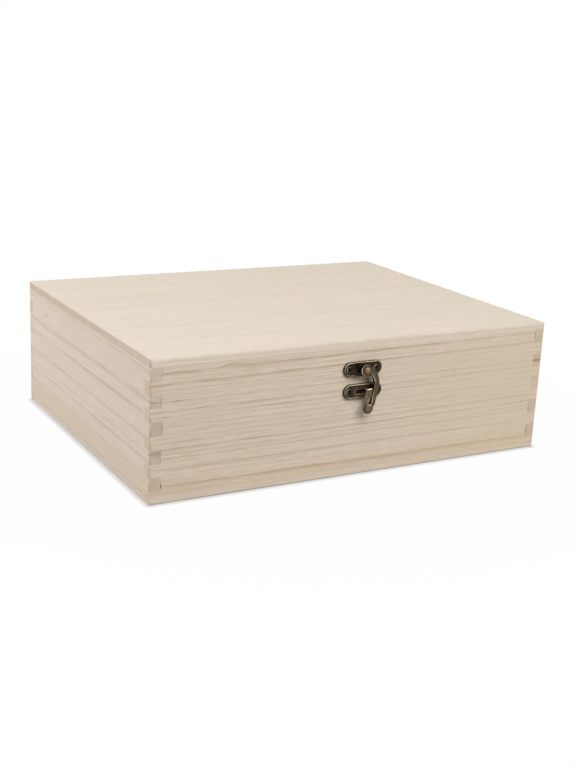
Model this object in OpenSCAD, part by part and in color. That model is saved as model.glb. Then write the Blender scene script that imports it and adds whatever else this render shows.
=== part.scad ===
// Keepsake box in pale wood. Four finger-jointed walls and a top panel were glued up as one
// closed frame, which was then sawn into a base and a lid. Two butt hinges join them at the
// back, and a swing hook on a rivet holds them shut at the front.
// Sizes are in millimetres. X runs along the front, Y from front to back and Z up.
// The origin lies on the table, under the middle of the wooden box.

/* [Wooden box] */
// Width of the box along the front
box_w = 300; // [200:1:420]
// Depth of the box from front to back
box_d = 235; // [140:1:340]
// Height of the base, from the table to its rim
base_h = 65.6; // [50:0.1:120]
// Height of the lid, with its top panel
lid_h = 27.1; // [24:0.1:60]
// Gap between the rim of the base and the lid
lid_gap = 0.1; // [0.05:0.05:0.6]
// Thickness of the walls
wall_t = 7.5; // [6.5:0.1:12]
// Thickness of the top panel
top_t = 5; // [3:0.1:8]
// Thickness of the bottom panel
bottom_t = 4; // [2:0.1:6]
// Depth to which the bottom panel is let into each wall
rebate = 3; // [1:0.1:4]
// Gap round the bottom panel in its rebate
panel_gap = 0.25; // [0.1:0.05:0.5]

/* [Corner joints and edges] */
// Finger rows over the height of the uncut frame
finger_rows = 10; // [6:1:14]
// Wood lost to the saw where the lid was cut off
saw_kerf = 1.5; // [0.5:0.1:3]
// Glue line round each finger
glue_gap = 0.08; // [0.02:0.01:0.2]
// Radius of the four upright corners
corner_r = 1.5; // [0.5:0.1:4]
// Radius of the edges round the top
top_edge_r = 1.2; // [0.3:0.1:2.5]
// Radius of the edges round the foot
foot_edge_r = 1.5; // [0.3:0.1:4]

/* [Latch and catch plates] */
// Place of the latch along the front, from the middle
latch_x = -1.3; // [-60:0.1:60]
// How far the catch plate sits to the right of the latch plate
catch_shift = 0.8; // [0:0.1:2]
// Height of the latch plate's centre above the lower edge of the lid
latch_rise = 7.9; // [6:0.1:12]
// Depth of the catch plate's centre below the rim of the base
catch_drop = 7.1; // [6:0.1:14]
// Length of each plate
plate_l = 29.1; // [27:0.1:40]
// Height of each plate
plate_h = 9.9; // [9.2:0.1:11.5]
// Height of a plate's rim above the wood
plate_rim_t = 1.5; // [1.2:0.05:2]
// Width of the rim
plate_rim_w = 1.0; // [0.6:0.05:1.4]
// Depth of the plate's floor below its rim
plate_dish = 0.3; // [0.1:0.05:0.5]
// Distance of each screw from the middle of its plate
plate_screw_x = 10.3; // [9.4:0.1:14]
// Height of the latch plate's boss above the wood
boss_h = 3.4; // [2.5:0.05:4.6]
// Radius of the boss at its top
boss_r = 4.0; // [3.6:0.1:4.4]
// Radius of the boss at the wood
boss_foot_r = 4.7; // [4.4:0.05:4.9]
// Thickness of the metal over the boss's hollow
boss_sheet_t = 1.0; // [0.6:0.05:1.2]

/* [Catch tab] */
// Place of the tab's left side, from the middle of the catch plate
tab_x = 0.1; // [-1:0.1:2]
// Width of the tab's face
tab_w = 4.7; // [3:0.1:5.5]
// Height of the tab
tab_h = 6.2; // [4:0.1:6.6]
// Depth of the tab's middle below the middle of its plate
tab_drop = 0.8; // [0:0.1:1]
// How far the tab stands out of the wood
tab_reach = 5.8; // [4.8:0.1:7]
// Thickness of the tab
tab_t = 1.1; // [0.8:0.05:1.4]
// Outer radius of the tab's fold
tab_fold_r = 1.5; // [0.5:0.1:2]
// Length of the slot beside the tab
tab_slot_l = 5.6; // [4:0.1:6.5]
// Height of the slot
tab_slot_h = 3.2; // [2:0.1:6]
// Depth of the slot's middle below the middle of its plate
tab_slot_drop = 0.3; // [0:0.1:0.8]
// Metal left behind the slot
tab_slot_floor = 0.3; // [0.2:0.05:0.6]

/* [Hook and rivet] */
// Radius of the rivet's shank
rivet_r = 1.3; // [1:0.05:1.6]
// Radius of the rivet's head
rivet_head_r = 2.6; // [2:0.05:3]
// Height of the rivet's head
rivet_head_h = 1.6; // [0.8:0.05:2.2]
// Straight rim of the rivet's head
rivet_rim_h = 0.3; // [0.1:0.05:0.5]
// Radius of the rivet's tail inside the boss
rivet_tail_r = 2.2; // [1.9:0.05:2.4]
// Height of the rivet's tail above the wood
rivet_tail_lift = 0.25; // [0.1:0.05:0.4]
// Room round the rivet's tail inside the boss
rivet_tail_room = 0.4; // [0.2:0.05:0.5]
// Running clearance round the rivet
rivet_gap = 0.05; // [0.02:0.01:0.1]
// Thickness of the hook's eye and arm
hook_t = 2.4; // [1.2:0.05:2.8]
// Radius of the hook's eye
hook_eye_r = 3.9; // [3.4:0.1:4.6]
// Width of the arm where it passes the catch tab
hook_arm_w = 3.2; // [2.6:0.1:4.6]
// Width of the arm above the knob
hook_tail_w = 3.1; // [2:0.1:3.8]
// Radius of the arm's upper bend
hook_bend_r = 9.7; // [8.5:0.1:11]
// Lean of the arm's straight stretch
hook_lean = 9; // [4:0.1:12]
// Gap between the closed arm and the catch tab
hook_gap = 0.4; // [0.3:0.05:1.6]
// How far the arm runs on below the catch tab before it curls to the knob
hook_tail_drop = 3.3; // [3:0.1:8]
// Radius of the curl above the knob
hook_curl_r = 3.2; // [2.6:0.1:4]
// Angle of the curl
hook_curl_turn = 30; // [20:1:70]
// Radius of the knob
knob_r = 3.8; // [3:0.1:4.4]
// Thickness of the knob
knob_t = 3.2; // [2:0.1:3.6]
// Distance of the knob's centre from the end of the curl
knob_out = 3.6; // [1.5:0.1:4]

/* [Hinges] */
// Distance of each hinge from the middle of the back
hinge_x = 85; // [50:1:85]
// Width of a hinge along the back
leaf_w = 28; // [24:0.5:40]
// Height of a leaf from the hinge axis to its outer edge
leaf_h = 10.5; // [9:0.1:14]
// Thickness of a leaf
leaf_t = 0.9; // [0.7:0.05:1]
// Radius of a leaf's outer corners
leaf_corner_r = 1.2; // [0.3:0.1:2]
// Radius of the knuckles
knuckle_r = 1.65; // [1.4:0.05:2.2]
// Knuckles on each hinge, counting both leaves
knuckles = 5; // [3:2:7]
// Gap between neighbouring knuckles
knuckle_gap = 0.25; // [0.15:0.05:0.5]
// Gap between the knuckles and what they turn past
barrel_gap = 0.15; // [0.1:0.05:0.4]
// Radius of the hinge pin
pin_r = 0.8; // [0.6:0.05:0.9]
// Running clearance round the hinge pin
pin_gap = 0.05; // [0.02:0.01:0.1]
// Radius of the pin's peened ends
pin_head_r = 1.25; // [1:0.05:1.4]
// Length of each peened end
pin_head_l = 0.5; // [0.3:0.05:1]
// Distance of each leaf screw from the middle of its leaf
leaf_screw_x = 8.4; // [5:0.1:10]
// Height of the leaf screws from the hinge axis
leaf_screw_y = 6.3; // [5:0.1:7]

/* [Screws] */
// Length of every screw
screw_l = 6.5; // [5:0.1:6.8]
// Radius of a screw's core
screw_core_r = 0.9; // [0.7:0.05:1]
// Radius of a screw's thread
screw_thread_r = 1.2; // [1.1:0.05:1.4]
// Pitch of the thread
screw_pitch = 0.9; // [0.7:0.05:1.2]
// Length of a screw's point
screw_tip_l = 1.6; // [1:0.1:2]
// Radius of the heads in the latch and catch plates
plate_head_r = 2.1; // [1.8:0.05:2.3]
// Radius of the heads in the hinge leaves
leaf_head_r = 1.8; // [1.6:0.05:2]
// Straight rim of a head
screw_rim = 0.12; // [0.05:0.01:0.2]
// Length of the cross in a head, tip to tip
cross_l = 2.3; // [1.6:0.05:2.6]
// Width of the cross
cross_w = 0.55; // [0.4:0.05:0.8]
// Depth of the cross
cross_d = 0.7; // [0.4:0.05:0.9]
// Clearance round a screw
screw_gap = 0.08; // [0.03:0.01:0.15]
// Depth of a pilot hole past the screw's point
pilot_spare = 0.3; // [0.1:0.05:0.5]

/* [Hidden] */

$fn = 64;
wood = [0.84, 0.77, 0.68];
pale_wood = [0.90, 0.85, 0.77];
bronze = [0.27, 0.22, 0.16];
brass = [0.62, 0.50, 0.30];

// Cutting shapes run past the surfaces that they cut
over = 1;

// Heights of the closed box
lid_z = base_h + lid_gap;
lid_wall_h = lid_h - top_t;
lid_wall_top = lid_z + lid_wall_h;
closed_h = lid_z + lid_h;
inner_w = box_w - 2 * wall_t;
inner_d = box_d - 2 * wall_t;

// Finger rows are counted from the top of the uncut frame, and the saw took its kerf from them
finger_h = (base_h + lid_wall_h + saw_kerf) / finger_rows;
base_row_top = base_h + lid_wall_h + saw_kerf;
side_rows = 0;
long_rows = 1;

// Latch and catch
latch_z = lid_z + latch_rise;
catch_x = latch_x + catch_shift;
catch_z = base_h - catch_drop;
plate_floor = plate_rim_t - plate_dish;
boss_hollow_h = boss_h - boss_sheet_t;
boss_hollow_r = rivet_tail_r + rivet_tail_room;
hook_o = boss_h + rivet_gap;
rivet_head_o = hook_o + hook_t + rivet_gap;

// The hook is laid out from the rivet, with the closed arm beside the catch tab
tab_right = catch_shift + tab_x + tab_w;
tab_low = catch_z - latch_z - tab_drop - tab_h / 2;
bend_end_z = -hook_bend_r * (1 + sin(hook_lean));
arm_half_w = hook_arm_w / 2 / cos(hook_lean);
eye_inset = 0.1;
eye_flare = max(0, hook_eye_r - hook_arm_w / 2 - eye_inset);
bend_x = tab_right + hook_gap + arm_half_w + (bend_end_z - tab_low) * tan(hook_lean)
    - hook_bend_r * cos(hook_lean);
bend_centre = [bend_x, -hook_bend_r];
bend_end = bend_centre + hook_bend_r * heading(-hook_lean);
arm_l = (bend_end_z - tab_low + hook_tail_drop) / cos(hook_lean);
arm_end = bend_end + arm_l * heading(-hook_lean - 90);
curl_centre = arm_end - hook_curl_r * heading(-hook_lean);
curl_end_turn = -hook_lean - hook_curl_turn;
knob_centre = curl_centre + hook_curl_r * heading(curl_end_turn)
    + knob_out * heading(curl_end_turn - 90);
bend_step = 7;
dome_step = 10;

// Hinges
hinge_z = base_h + lid_gap / 2;
hinge_axis_o = knuckle_r + barrel_gap;
leaf_start = knuckle_r + 2 * barrel_gap;
knuckle_pitch = leaf_w / knuckles;
pin_l = leaf_w + 2 * barrel_gap;

// Screws
screw_hole_r = screw_thread_r + screw_gap;

// Unit vector at an angle from +X
function heading(turn) = [cos(turn), sin(turn)];

// Middle height of a finger row
function row_mid(row, row_top) = row_top - (row + 0.5) * finger_h;

// Every other row, from the first one given, that reaches between two heights
function rows_between(first, row_top, low, high) = [
    for (row = [first : 2 : finger_rows - 1])
        if (row_mid(row, row_top) + finger_h / 2 > low && row_mid(row, row_top) - finger_h / 2 < high)
            row
];

// Flat shapes

module racetrack(length, height) {
    square([length - height, height], center = true);
    for (side = [-1, 1])
        translate([side * (length - height) / 2, 0])
            circle(d = height);
}

module round_rect(width, depth, radius) {
    square([width - 2 * radius, depth], center = true);
    square([width, depth - 2 * radius], center = true);
    for (x = [-1, 1], y = [-1, 1])
        translate([x * (width / 2 - radius), y * (depth / 2 - radius)])
            circle(r = radius);
}

// Upright outline of the closed box, with its top and foot edges rounded
module upright_outline(width) {
    middle = closed_h / 2;
    translate([-width / 2, foot_edge_r])
        square([width, closed_h - foot_edge_r - top_edge_r]);
    translate([-width / 2 + foot_edge_r, 0])
        square([width - 2 * foot_edge_r, middle]);
    translate([-width / 2 + top_edge_r, middle])
        square([width - 2 * top_edge_r, closed_h - middle]);
    for (side = [-1, 1]) {
        translate([side * (width / 2 - foot_edge_r), foot_edge_r])
            circle(r = foot_edge_r);
        translate([side * (width / 2 - top_edge_r), closed_h - top_edge_r])
            circle(r = top_edge_r);
    }
}

// Wooden box

// Outside of the closed box, which every board is trimmed to
module outside() {
    intersection() {
        translate([0, 0, -over])
            linear_extrude(closed_h + 2 * over)
                round_rect(box_w, box_d, corner_r);
        rotate([90, 0, 0])
            linear_extrude(box_d + 2 * over, center = true)
                upright_outline(box_w);
        rotate([90, 0, 90])
            linear_extrude(box_w + 2 * over, center = true)
                upright_outline(box_d);
    }
}

// Blocks that one wall's fingers take out of its neighbour, at a corner
module finger_blocks(first, row_top, low, high, size_x, size_y, grow) {
    for (row = rows_between(first, row_top, low, high)) {
        foot = row == finger_rows - 1 ? over : 0;
        translate([-size_x / 2, -size_y / 2, row_mid(row, row_top) - finger_h / 2 - grow - foot])
            cube([size_x, size_y, finger_h + 2 * grow + foot]);
    }
}

// Front or back wall, from one height to another
module long_wall(side, low, high, row_top) {
    reach = wall_t + glue_gap + over;
    intersection() {
        outside();
        difference() {
            translate([-box_w / 2 - over, side * (box_d - wall_t + over) / 2 - (wall_t + over) / 2, low])
                cube([box_w + 2 * over, wall_t + over, high - low]);
            for (end = [-1, 1])
                translate([end * (box_w / 2 + over - reach / 2), side * (box_d - wall_t) / 2, 0])
                    finger_blocks(side_rows, row_top, low, high, reach, wall_t + 3 * over, glue_gap);
        }
    }
}

// Left or right wall, from one height to another
module side_wall(side, low, high, row_top) {
    reach = wall_t + glue_gap + over;
    intersection() {
        outside();
        difference() {
            translate([side * (box_w - wall_t + over) / 2 - (wall_t + over) / 2, -box_d / 2 - over, low])
                cube([wall_t + over, box_d + 2 * over, high - low]);
            for (end = [-1, 1])
                translate([side * (box_w - wall_t) / 2, end * (box_d / 2 + over - reach / 2), 0])
                    finger_blocks(long_rows, row_top, low, high, wall_t + 3 * over, reach, 0);
        }
    }
}

// Room for the bottom panel in the base walls
module bottom_pocket() {
    translate([-inner_w / 2 - rebate, -inner_d / 2 - rebate, -over])
        cube([inner_w + 2 * rebate, inner_d + 2 * rebate, bottom_t + over]);
}

module base_front_wall() {
    color(wood) difference() {
        long_wall(-1, -over, base_h, base_row_top);
        bottom_pocket();
        on_front(catch_x, catch_z) plate_pilots();
    }
}

module base_back_wall() {
    color(wood) difference() {
        long_wall(1, -over, base_h, base_row_top);
        bottom_pocket();
        for (side = [-1, 1]) on_back(side) leaf_pilots(-1);
    }
}

module base_left_wall() {
    color(wood) difference() {
        side_wall(-1, -over, base_h, base_row_top);
        bottom_pocket();
    }
}

module base_right_wall() {
    color(wood) difference() {
        side_wall(1, -over, base_h, base_row_top);
        bottom_pocket();
    }
}

module base_bottom_panel() {
    panel_w = inner_w + 2 * rebate - 2 * panel_gap;
    panel_d = inner_d + 2 * rebate - 2 * panel_gap;
    color(wood)
        translate([-panel_w / 2, -panel_d / 2, 0])
            cube([panel_w, panel_d, bottom_t]);
}

module lid_front_wall() {
    color(wood) difference() {
        long_wall(-1, lid_z, lid_wall_top, lid_wall_top);
        on_front(latch_x, latch_z) plate_pilots();
    }
}

module lid_back_wall() {
    color(wood) difference() {
        long_wall(1, lid_z, lid_wall_top, lid_wall_top);
        for (side = [-1, 1]) on_back(side) leaf_pilots(1);
    }
}

module lid_left_wall() {
    color(wood) side_wall(-1, lid_z, lid_wall_top, lid_wall_top);
}

module lid_right_wall() {
    color(wood) side_wall(1, lid_z, lid_wall_top, lid_wall_top);
}

module lid_top_panel() {
    color(pale_wood) intersection() {
        outside();
        translate([-box_w / 2 - over, -box_d / 2 - over, lid_wall_top])
            cube([box_w + 2 * over, box_d + 2 * over, top_t + over]);
    }
}

// Screws, with the top of the head at the origin and the point down

module screw(head_r) {
    cone_end = -screw_rim - (head_r - screw_core_r);
    thread_l = screw_l + cone_end - screw_tip_l;
    turns = floor(thread_l / screw_pitch);
    difference() {
        rotate_extrude()
            polygon(concat(
                [[0, 0], [head_r, 0], [head_r, -screw_rim], [screw_core_r, cone_end]],
                [for (turn = [1 : turns], part = [0.5, 1]) [
                    part == 1 ? screw_core_r : screw_thread_r,
                    cone_end - (turn - 1 + part) * screw_pitch
                ]],
                [[screw_core_r, screw_tip_l - screw_l], [0, -screw_l]]
            ));
        for (turn = [0, 90])
            rotate(turn)
                translate([-cross_l / 2, -cross_w / 2, -cross_d])
                    cube([cross_l, cross_w, cross_d + over]);
    }
}

// Countersunk hole for a screw, through the metal under its head
module screw_seat(head_r) {
    seat_r = head_r + screw_gap;
    cone_end = -screw_rim - max(0, seat_r - screw_hole_r);
    rotate_extrude()
        polygon([
            [0, over], [seat_r, over], [seat_r, -screw_rim], [screw_hole_r, cone_end],
            [screw_hole_r, -screw_l], [0, -screw_l]
        ]);
}

// Pilot hole in the wood for a screw whose head lies at a height above the wood
module pilot(head_o) {
    depth = screw_l - head_o + pilot_spare;
    translate([0, 0, -depth])
        cylinder(r = screw_hole_r, h = depth + over);
}

// Latch and catch, drawn with X along the front, Y up and Z out of the wood

module on_front(x, height) {
    translate([x, -box_d / 2, height])
        rotate([90, 0, 0])
            children();
}

module at_plate_screws() {
    for (side = [-1, 1])
        translate([side * plate_screw_x, 0, 0])
            children();
}

module plate_pilots() {
    at_plate_screws() pilot(plate_floor);
}

module plate_screws() {
    at_plate_screws()
        translate([0, 0, plate_floor])
            screw(plate_head_r);
}

// Stamped plate with a raised rim and two screw seats
module stamped_plate() {
    difference() {
        linear_extrude(plate_rim_t)
            racetrack(plate_l, plate_h);
        translate([0, 0, plate_floor])
            linear_extrude(plate_dish + over)
                racetrack(plate_l - 2 * plate_rim_w, plate_h - 2 * plate_rim_w);
        at_plate_screws()
            translate([0, 0, plate_floor])
                screw_seat(plate_head_r);
    }
}

module latch_plate() {
    color(bronze) on_front(latch_x, latch_z) difference() {
        union() {
            stamped_plate();
            cylinder(r1 = boss_foot_r, r2 = boss_r, h = boss_h);
        }
        translate([0, 0, -over])
            cylinder(r = boss_hollow_r, h = boss_hollow_h + over);
        cylinder(r = rivet_r + rivet_gap, h = boss_h + over);
    }
}

module latch_plate_screws() {
    color(bronze) on_front(latch_x, latch_z) plate_screws();
}

module latch_rivet() {
    dome_o = rivet_head_o + rivet_rim_h;
    dome_h = rivet_head_h - rivet_rim_h;
    color(brass) on_front(latch_x, latch_z) rotate_extrude()
        polygon(concat(
            [[0, rivet_tail_lift], [rivet_tail_r, rivet_tail_lift]],
            [[rivet_tail_r, boss_hollow_h - rivet_gap], [rivet_r, boss_hollow_h - rivet_gap]],
            [[rivet_r, rivet_head_o], [rivet_head_r, rivet_head_o]],
            [for (turn = [0 : dome_step : 90]) [rivet_head_r * cos(turn), dome_o + dome_h * sin(turn)]]
        ));
}

// Outline of the arm from the rivet to the knob: an upper bend that flares into the eye, a
// straight stretch and a curl
module hook_arm() {
    bend = [for (turn = [90 : -bend_step : -hook_lean]) turn];
    flare = [for (turn = bend) eye_flare * pow(max(0, turn) / 90, 2)];
    curl = [for (turn = [-hook_lean : -bend_step : curl_end_turn]) turn];
    outer = concat(
        [for (i = [0 : len(bend) - 1])
            bend_centre + (hook_bend_r + hook_arm_w / 2 + flare[i]) * heading(bend[i])],
        [for (turn = curl) curl_centre + (hook_curl_r + hook_tail_w / 2) * heading(turn)]
    );
    inner = concat(
        [for (turn = bend) bend_centre + (hook_bend_r - hook_arm_w / 2) * heading(turn)],
        [for (turn = curl) curl_centre + (hook_curl_r - hook_tail_w / 2) * heading(turn)]
    );
    polygon(concat(outer, [for (i = [len(inner) - 1 : -1 : 0]) inner[i]]));
}

module latch_hook() {
    color(bronze) on_front(latch_x, latch_z) translate([0, 0, hook_o]) difference() {
        union() {
            cylinder(r = hook_eye_r, h = hook_t);
            linear_extrude(hook_t)
                hook_arm();
            translate([knob_centre[0], knob_centre[1], hook_t / 2])
                rotate_extrude()
                    polygon([
                        for (turn = [-90 : dome_step : 90])
                            [knob_r * cos(turn), knob_t / 2 * sin(turn)]
                    ]);
        }
        translate([0, 0, -over])
            cylinder(r = rivet_r + rivet_gap, h = hook_t + 2 * over);
    }
}

// Section of the folded tab, with X along the front and Y out of the wood
module tab_section() {
    difference() {
        union() {
            translate([tab_x, 0])
                square([tab_t, tab_reach]);
            translate([tab_x, tab_reach - tab_t])
                square([tab_w, tab_t]);
        }
        translate([tab_x, tab_reach - tab_fold_r])
            difference() {
                translate([-over, 0])
                    square([tab_fold_r + over, tab_fold_r + over]);
                translate([tab_fold_r, 0])
                    circle(r = tab_fold_r);
            }
    }
}

module catch_plate() {
    color(bronze) on_front(catch_x, catch_z) {
        difference() {
            stamped_plate();
            translate([tab_x - tab_slot_l, -tab_slot_drop - tab_slot_h / 2, tab_slot_floor])
                cube([tab_slot_l, tab_slot_h, plate_rim_t]);
        }
        translate([0, tab_h / 2 - tab_drop, 0])
            rotate([90, 0, 0])
                linear_extrude(tab_h)
                    tab_section();
    }
}

module catch_plate_screws() {
    color(bronze) on_front(catch_x, catch_z) plate_screws();
}

// Hinges, drawn with X along the back, Y up from the hinge axis and Z out of the wood

module on_back(side) {
    translate([side * hinge_x, box_d / 2, hinge_z])
        rotate([90, 0, 180])
            children();
}

module at_leaf_screws(way) {
    for (side = [-1, 1])
        translate([side * leaf_screw_x, way * leaf_screw_y, 0])
            children();
}

module leaf_pilots(way) {
    at_leaf_screws(way) pilot(leaf_t);
}

module leaf_screws(way) {
    at_leaf_screws(way)
        translate([0, 0, leaf_t])
            screw(leaf_head_r);
}

// Hinge leaf that lies below the axis, way -1, or above it, way 1, with its share of the knuckles
module hinge_leaf(way) {
    first = way < 0 ? 0 : 1;
    flat_h = leaf_h - leaf_start;
    difference() {
        union() {
            translate([0, way * (leaf_start + flat_h / 2), 0])
                linear_extrude(leaf_t) {
                    round_rect(leaf_w, flat_h, leaf_corner_r);
                    translate([-leaf_w / 2, way < 0 ? 0 : -flat_h / 2])
                        square([leaf_w, flat_h / 2]);
                }
            for (i = [first : 2 : knuckles - 1])
                translate([-leaf_w / 2 + i * knuckle_pitch + knuckle_gap / 2, 0, 0])
                    knuckle(way);
        }
        translate([-leaf_w / 2 - over, 0, hinge_axis_o])
            rotate([0, 90, 0])
                cylinder(r = pin_r + pin_gap, h = leaf_w + 2 * over);
        at_leaf_screws(way)
            translate([0, 0, leaf_t])
                screw_seat(leaf_head_r);
    }
}

// Knuckle and the neck that joins it to its leaf
module knuckle(way) {
    length = knuckle_pitch - knuckle_gap;
    neck_h = leaf_start + over;
    translate([0, 0, hinge_axis_o])
        rotate([0, 90, 0])
            cylinder(r = knuckle_r, h = length);
    translate([0, way < 0 ? -neck_h : 0, 0])
        cube([length, neck_h, leaf_t]);
}

module hinge_pin() {
    translate([-pin_l / 2, 0, hinge_axis_o])
        rotate([0, 90, 0]) {
            cylinder(r = pin_r, h = pin_l);
            translate([0, 0, -pin_head_l])
                cylinder(r = pin_head_r, h = pin_head_l);
            translate([0, 0, pin_l])
                cylinder(r = pin_head_r, h = pin_head_l);
        }
}

module hinge_left_base_leaf() {
    color(bronze) on_back(-1) hinge_leaf(-1);
}

module hinge_left_base_screws() {
    color(bronze) on_back(-1) leaf_screws(-1);
}

module hinge_left_pin() {
    color(bronze) on_back(-1) hinge_pin();
}

module hinge_left_lid_leaf() {
    color(bronze) on_back(-1) hinge_leaf(1);
}

module hinge_left_lid_screws() {
    color(bronze) on_back(-1) leaf_screws(1);
}

module hinge_right_base_leaf() {
    color(bronze) on_back(1) hinge_leaf(-1);
}

module hinge_right_base_screws() {
    color(bronze) on_back(1) leaf_screws(-1);
}

module hinge_right_pin() {
    color(bronze) on_back(1) hinge_pin();
}

module hinge_right_lid_leaf() {
    color(bronze) on_back(1) hinge_leaf(1);
}

module hinge_right_lid_screws() {
    color(bronze) on_back(1) leaf_screws(1);
}

base_front_wall();
base_back_wall();
base_left_wall();
base_right_wall();
base_bottom_panel();
lid_front_wall();
lid_back_wall();
lid_left_wall();
lid_right_wall();
lid_top_panel();
latch_plate();
latch_plate_screws();
latch_rivet();
latch_hook();
catch_plate();
catch_plate_screws();
hinge_left_base_leaf();
hinge_left_base_screws();
hinge_left_pin();
hinge_left_lid_leaf();
hinge_left_lid_screws();
hinge_right_base_leaf();
hinge_right_base_screws();
hinge_right_pin();
hinge_right_lid_leaf();
hinge_right_lid_screws();
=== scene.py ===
from math import atan2, cos, pi, radians, sin

import bmesh
import bpy
from mathutils import Euler, Matrix, Vector
from mathutils.geometry import delaunay_2d_cdt


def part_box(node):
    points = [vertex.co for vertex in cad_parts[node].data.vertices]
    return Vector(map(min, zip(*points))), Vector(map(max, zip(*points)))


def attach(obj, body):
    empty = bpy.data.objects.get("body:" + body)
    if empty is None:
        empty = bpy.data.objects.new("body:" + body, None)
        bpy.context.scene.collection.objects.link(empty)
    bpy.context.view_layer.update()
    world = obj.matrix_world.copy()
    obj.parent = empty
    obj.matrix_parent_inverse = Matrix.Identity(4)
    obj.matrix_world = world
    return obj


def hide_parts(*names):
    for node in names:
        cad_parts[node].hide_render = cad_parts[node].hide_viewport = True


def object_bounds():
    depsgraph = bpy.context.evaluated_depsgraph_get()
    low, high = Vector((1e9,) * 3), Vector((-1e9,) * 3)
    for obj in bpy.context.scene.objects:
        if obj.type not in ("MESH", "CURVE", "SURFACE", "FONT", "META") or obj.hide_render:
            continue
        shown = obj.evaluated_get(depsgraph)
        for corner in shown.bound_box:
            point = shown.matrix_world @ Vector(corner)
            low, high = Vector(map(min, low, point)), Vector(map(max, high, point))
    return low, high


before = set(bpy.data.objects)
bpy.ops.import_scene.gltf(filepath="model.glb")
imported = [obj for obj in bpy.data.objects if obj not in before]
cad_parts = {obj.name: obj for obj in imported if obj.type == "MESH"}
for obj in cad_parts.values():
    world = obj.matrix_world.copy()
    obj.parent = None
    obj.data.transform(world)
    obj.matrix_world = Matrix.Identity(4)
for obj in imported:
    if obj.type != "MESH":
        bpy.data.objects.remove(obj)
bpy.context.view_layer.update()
mm = 0.001
print("frame loaded:", len(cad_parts), "nodes")


def addObject(name, data):
    made = bpy.data.objects.new(name, data)
    bpy.context.scene.collection.objects.link(made)
    return made


# camera at the photograph's viewing angle
photoView = {
    "lens": 57.16,  # mm
    "sensor": 36,  # mm tall
    "place": (-0.42064, -0.75977, 0.28579),
    "turn": -29.57,  # degrees round the box from straight in front
    "tilt": 16.4,
    "roll": 2.73,
}


def placeCamera(view):
    turn, tilt, roll = (radians(view[key]) for key in ("turn", "tilt", "roll"))
    back = Vector((sin(turn) * cos(tilt), -cos(turn) * cos(tilt), sin(tilt)))
    level = Vector((cos(turn), sin(turn), 0))
    upright = back.cross(level)
    right = level * cos(roll) + upright * sin(roll)
    up = upright * cos(roll) - level * sin(roll)
    lens = bpy.data.cameras.new("photoLens")
    lens.sensor_fit = "VERTICAL"
    lens.sensor_height = view["sensor"]
    lens.lens = view["lens"]
    camera = addObject("photoCamera", lens)
    axes = Matrix((right, up, back)).transposed().to_4x4()
    camera.matrix_world = Matrix.Translation(view["place"]) @ axes
    bpy.context.scene.camera = camera


placeCamera(photoView)
bpy.context.scene.view_settings.view_transform = "Standard"
print("camera placed")


# a socket that takes part in Python expressions
class Wire:
    def __init__(self, tree, socket=None):
        self.tree = tree
        self.socket = socket

    # any node: its settings first, then the values or links of its inputs
    def node(self, kind, settings, inputs, output=0):
        made = self.tree.nodes.new(kind)
        for name, value in settings.items():
            if name == "stops":
                setStops(made.color_ramp, value)
            else:
                setattr(made, name, value)
        self.fill(made, inputs)
        return Wire(self.tree, made.outputs[output])

    def fill(self, node, inputs):
        for name, value in inputs.items():
            if isinstance(value, Wire):
                self.tree.links.new(value.socket, node.inputs[name])
            else:
                node.inputs[name].default_value = value

    def maths(self, operation, *terms):
        return self.node("ShaderNodeMath", {"operation": operation}, dict(enumerate(terms)))

    def __add__(self, other):
        return self.maths("ADD", self, other)

    def __sub__(self, other):
        return self.maths("SUBTRACT", self, other)

    def __rsub__(self, other):
        return self.maths("SUBTRACT", other, self)

    def __mul__(self, other):
        return self.maths("MULTIPLY", self, other)

    def __truediv__(self, other):
        return self.maths("DIVIDE", self, other)

    def __abs__(self):
        return self.maths("ABSOLUTE", self)

    __radd__ = __add__
    __rmul__ = __mul__

    def atLeast(self, limit):
        return self.maths("MAXIMUM", self, limit)

    def atMost(self, limit):
        return self.maths("MINIMUM", self, limit)

    def rise(self, low, high):  # 0 below low, 1 above high
        settings = {"interpolation_type": "SMOOTHSTEP"}
        return self.node("ShaderNodeMapRange", settings, {"Value": self, "From Min": low, "From Max": high})

    def bell(self, centre, width):  # 1 at the centre, fading out over the width
        offset = (self - centre) / width
        return self.maths("EXPONENT", 0 - offset * offset)

    def mix(self, low, high):  # two colours, by this factor
        factor, first, second, result = 0, 6, 7, 2  # sockets for colours
        inputs = {factor: self, first: low, second: high}
        return self.node("ShaderNodeMix", {"data_type": "RGBA"}, inputs, result)

    def parts(self):  # x, y and z of a vector
        return [self.node("ShaderNodeSeparateXYZ", {}, {0: self}, index) for index in range(3)]

    def noise(self, x, y, z, detail=2.0):  # around 0, mostly between -0.5 and 0.5
        spot = self.node("ShaderNodeCombineXYZ", {}, {0: x, 1: y, 2: z})
        inputs = {"Vector": spot, "Scale": 1.0, "Detail": detail}
        return self.node("ShaderNodeTexNoise", {}, inputs) - 0.5


def setStops(ramp, stops):
    while len(ramp.elements) < len(stops):
        ramp.elements.new(1.0)
    for element, (place, value) in zip(ramp.elements, stops):
        element.position = place
        element.color = value if hasattr(value, "__len__") else (value, value, value, 1)


def paint(red, green, blue):  # a screen colour, 0 to 255, taken off the sRGB curve
    def linear(level):
        share = level / 255
        return share / 12.92 if share <= 0.04045 else ((share + 0.055) / 1.055) ** 2.4
    return (linear(red), linear(green), linear(blue), 1)


def newFinish(name):
    finish = bpy.data.materials.new(name)
    finish.use_nodes = True
    shader = finish.node_tree.nodes["Principled BSDF"]
    return finish, shader, Wire(finish.node_tree)


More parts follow.
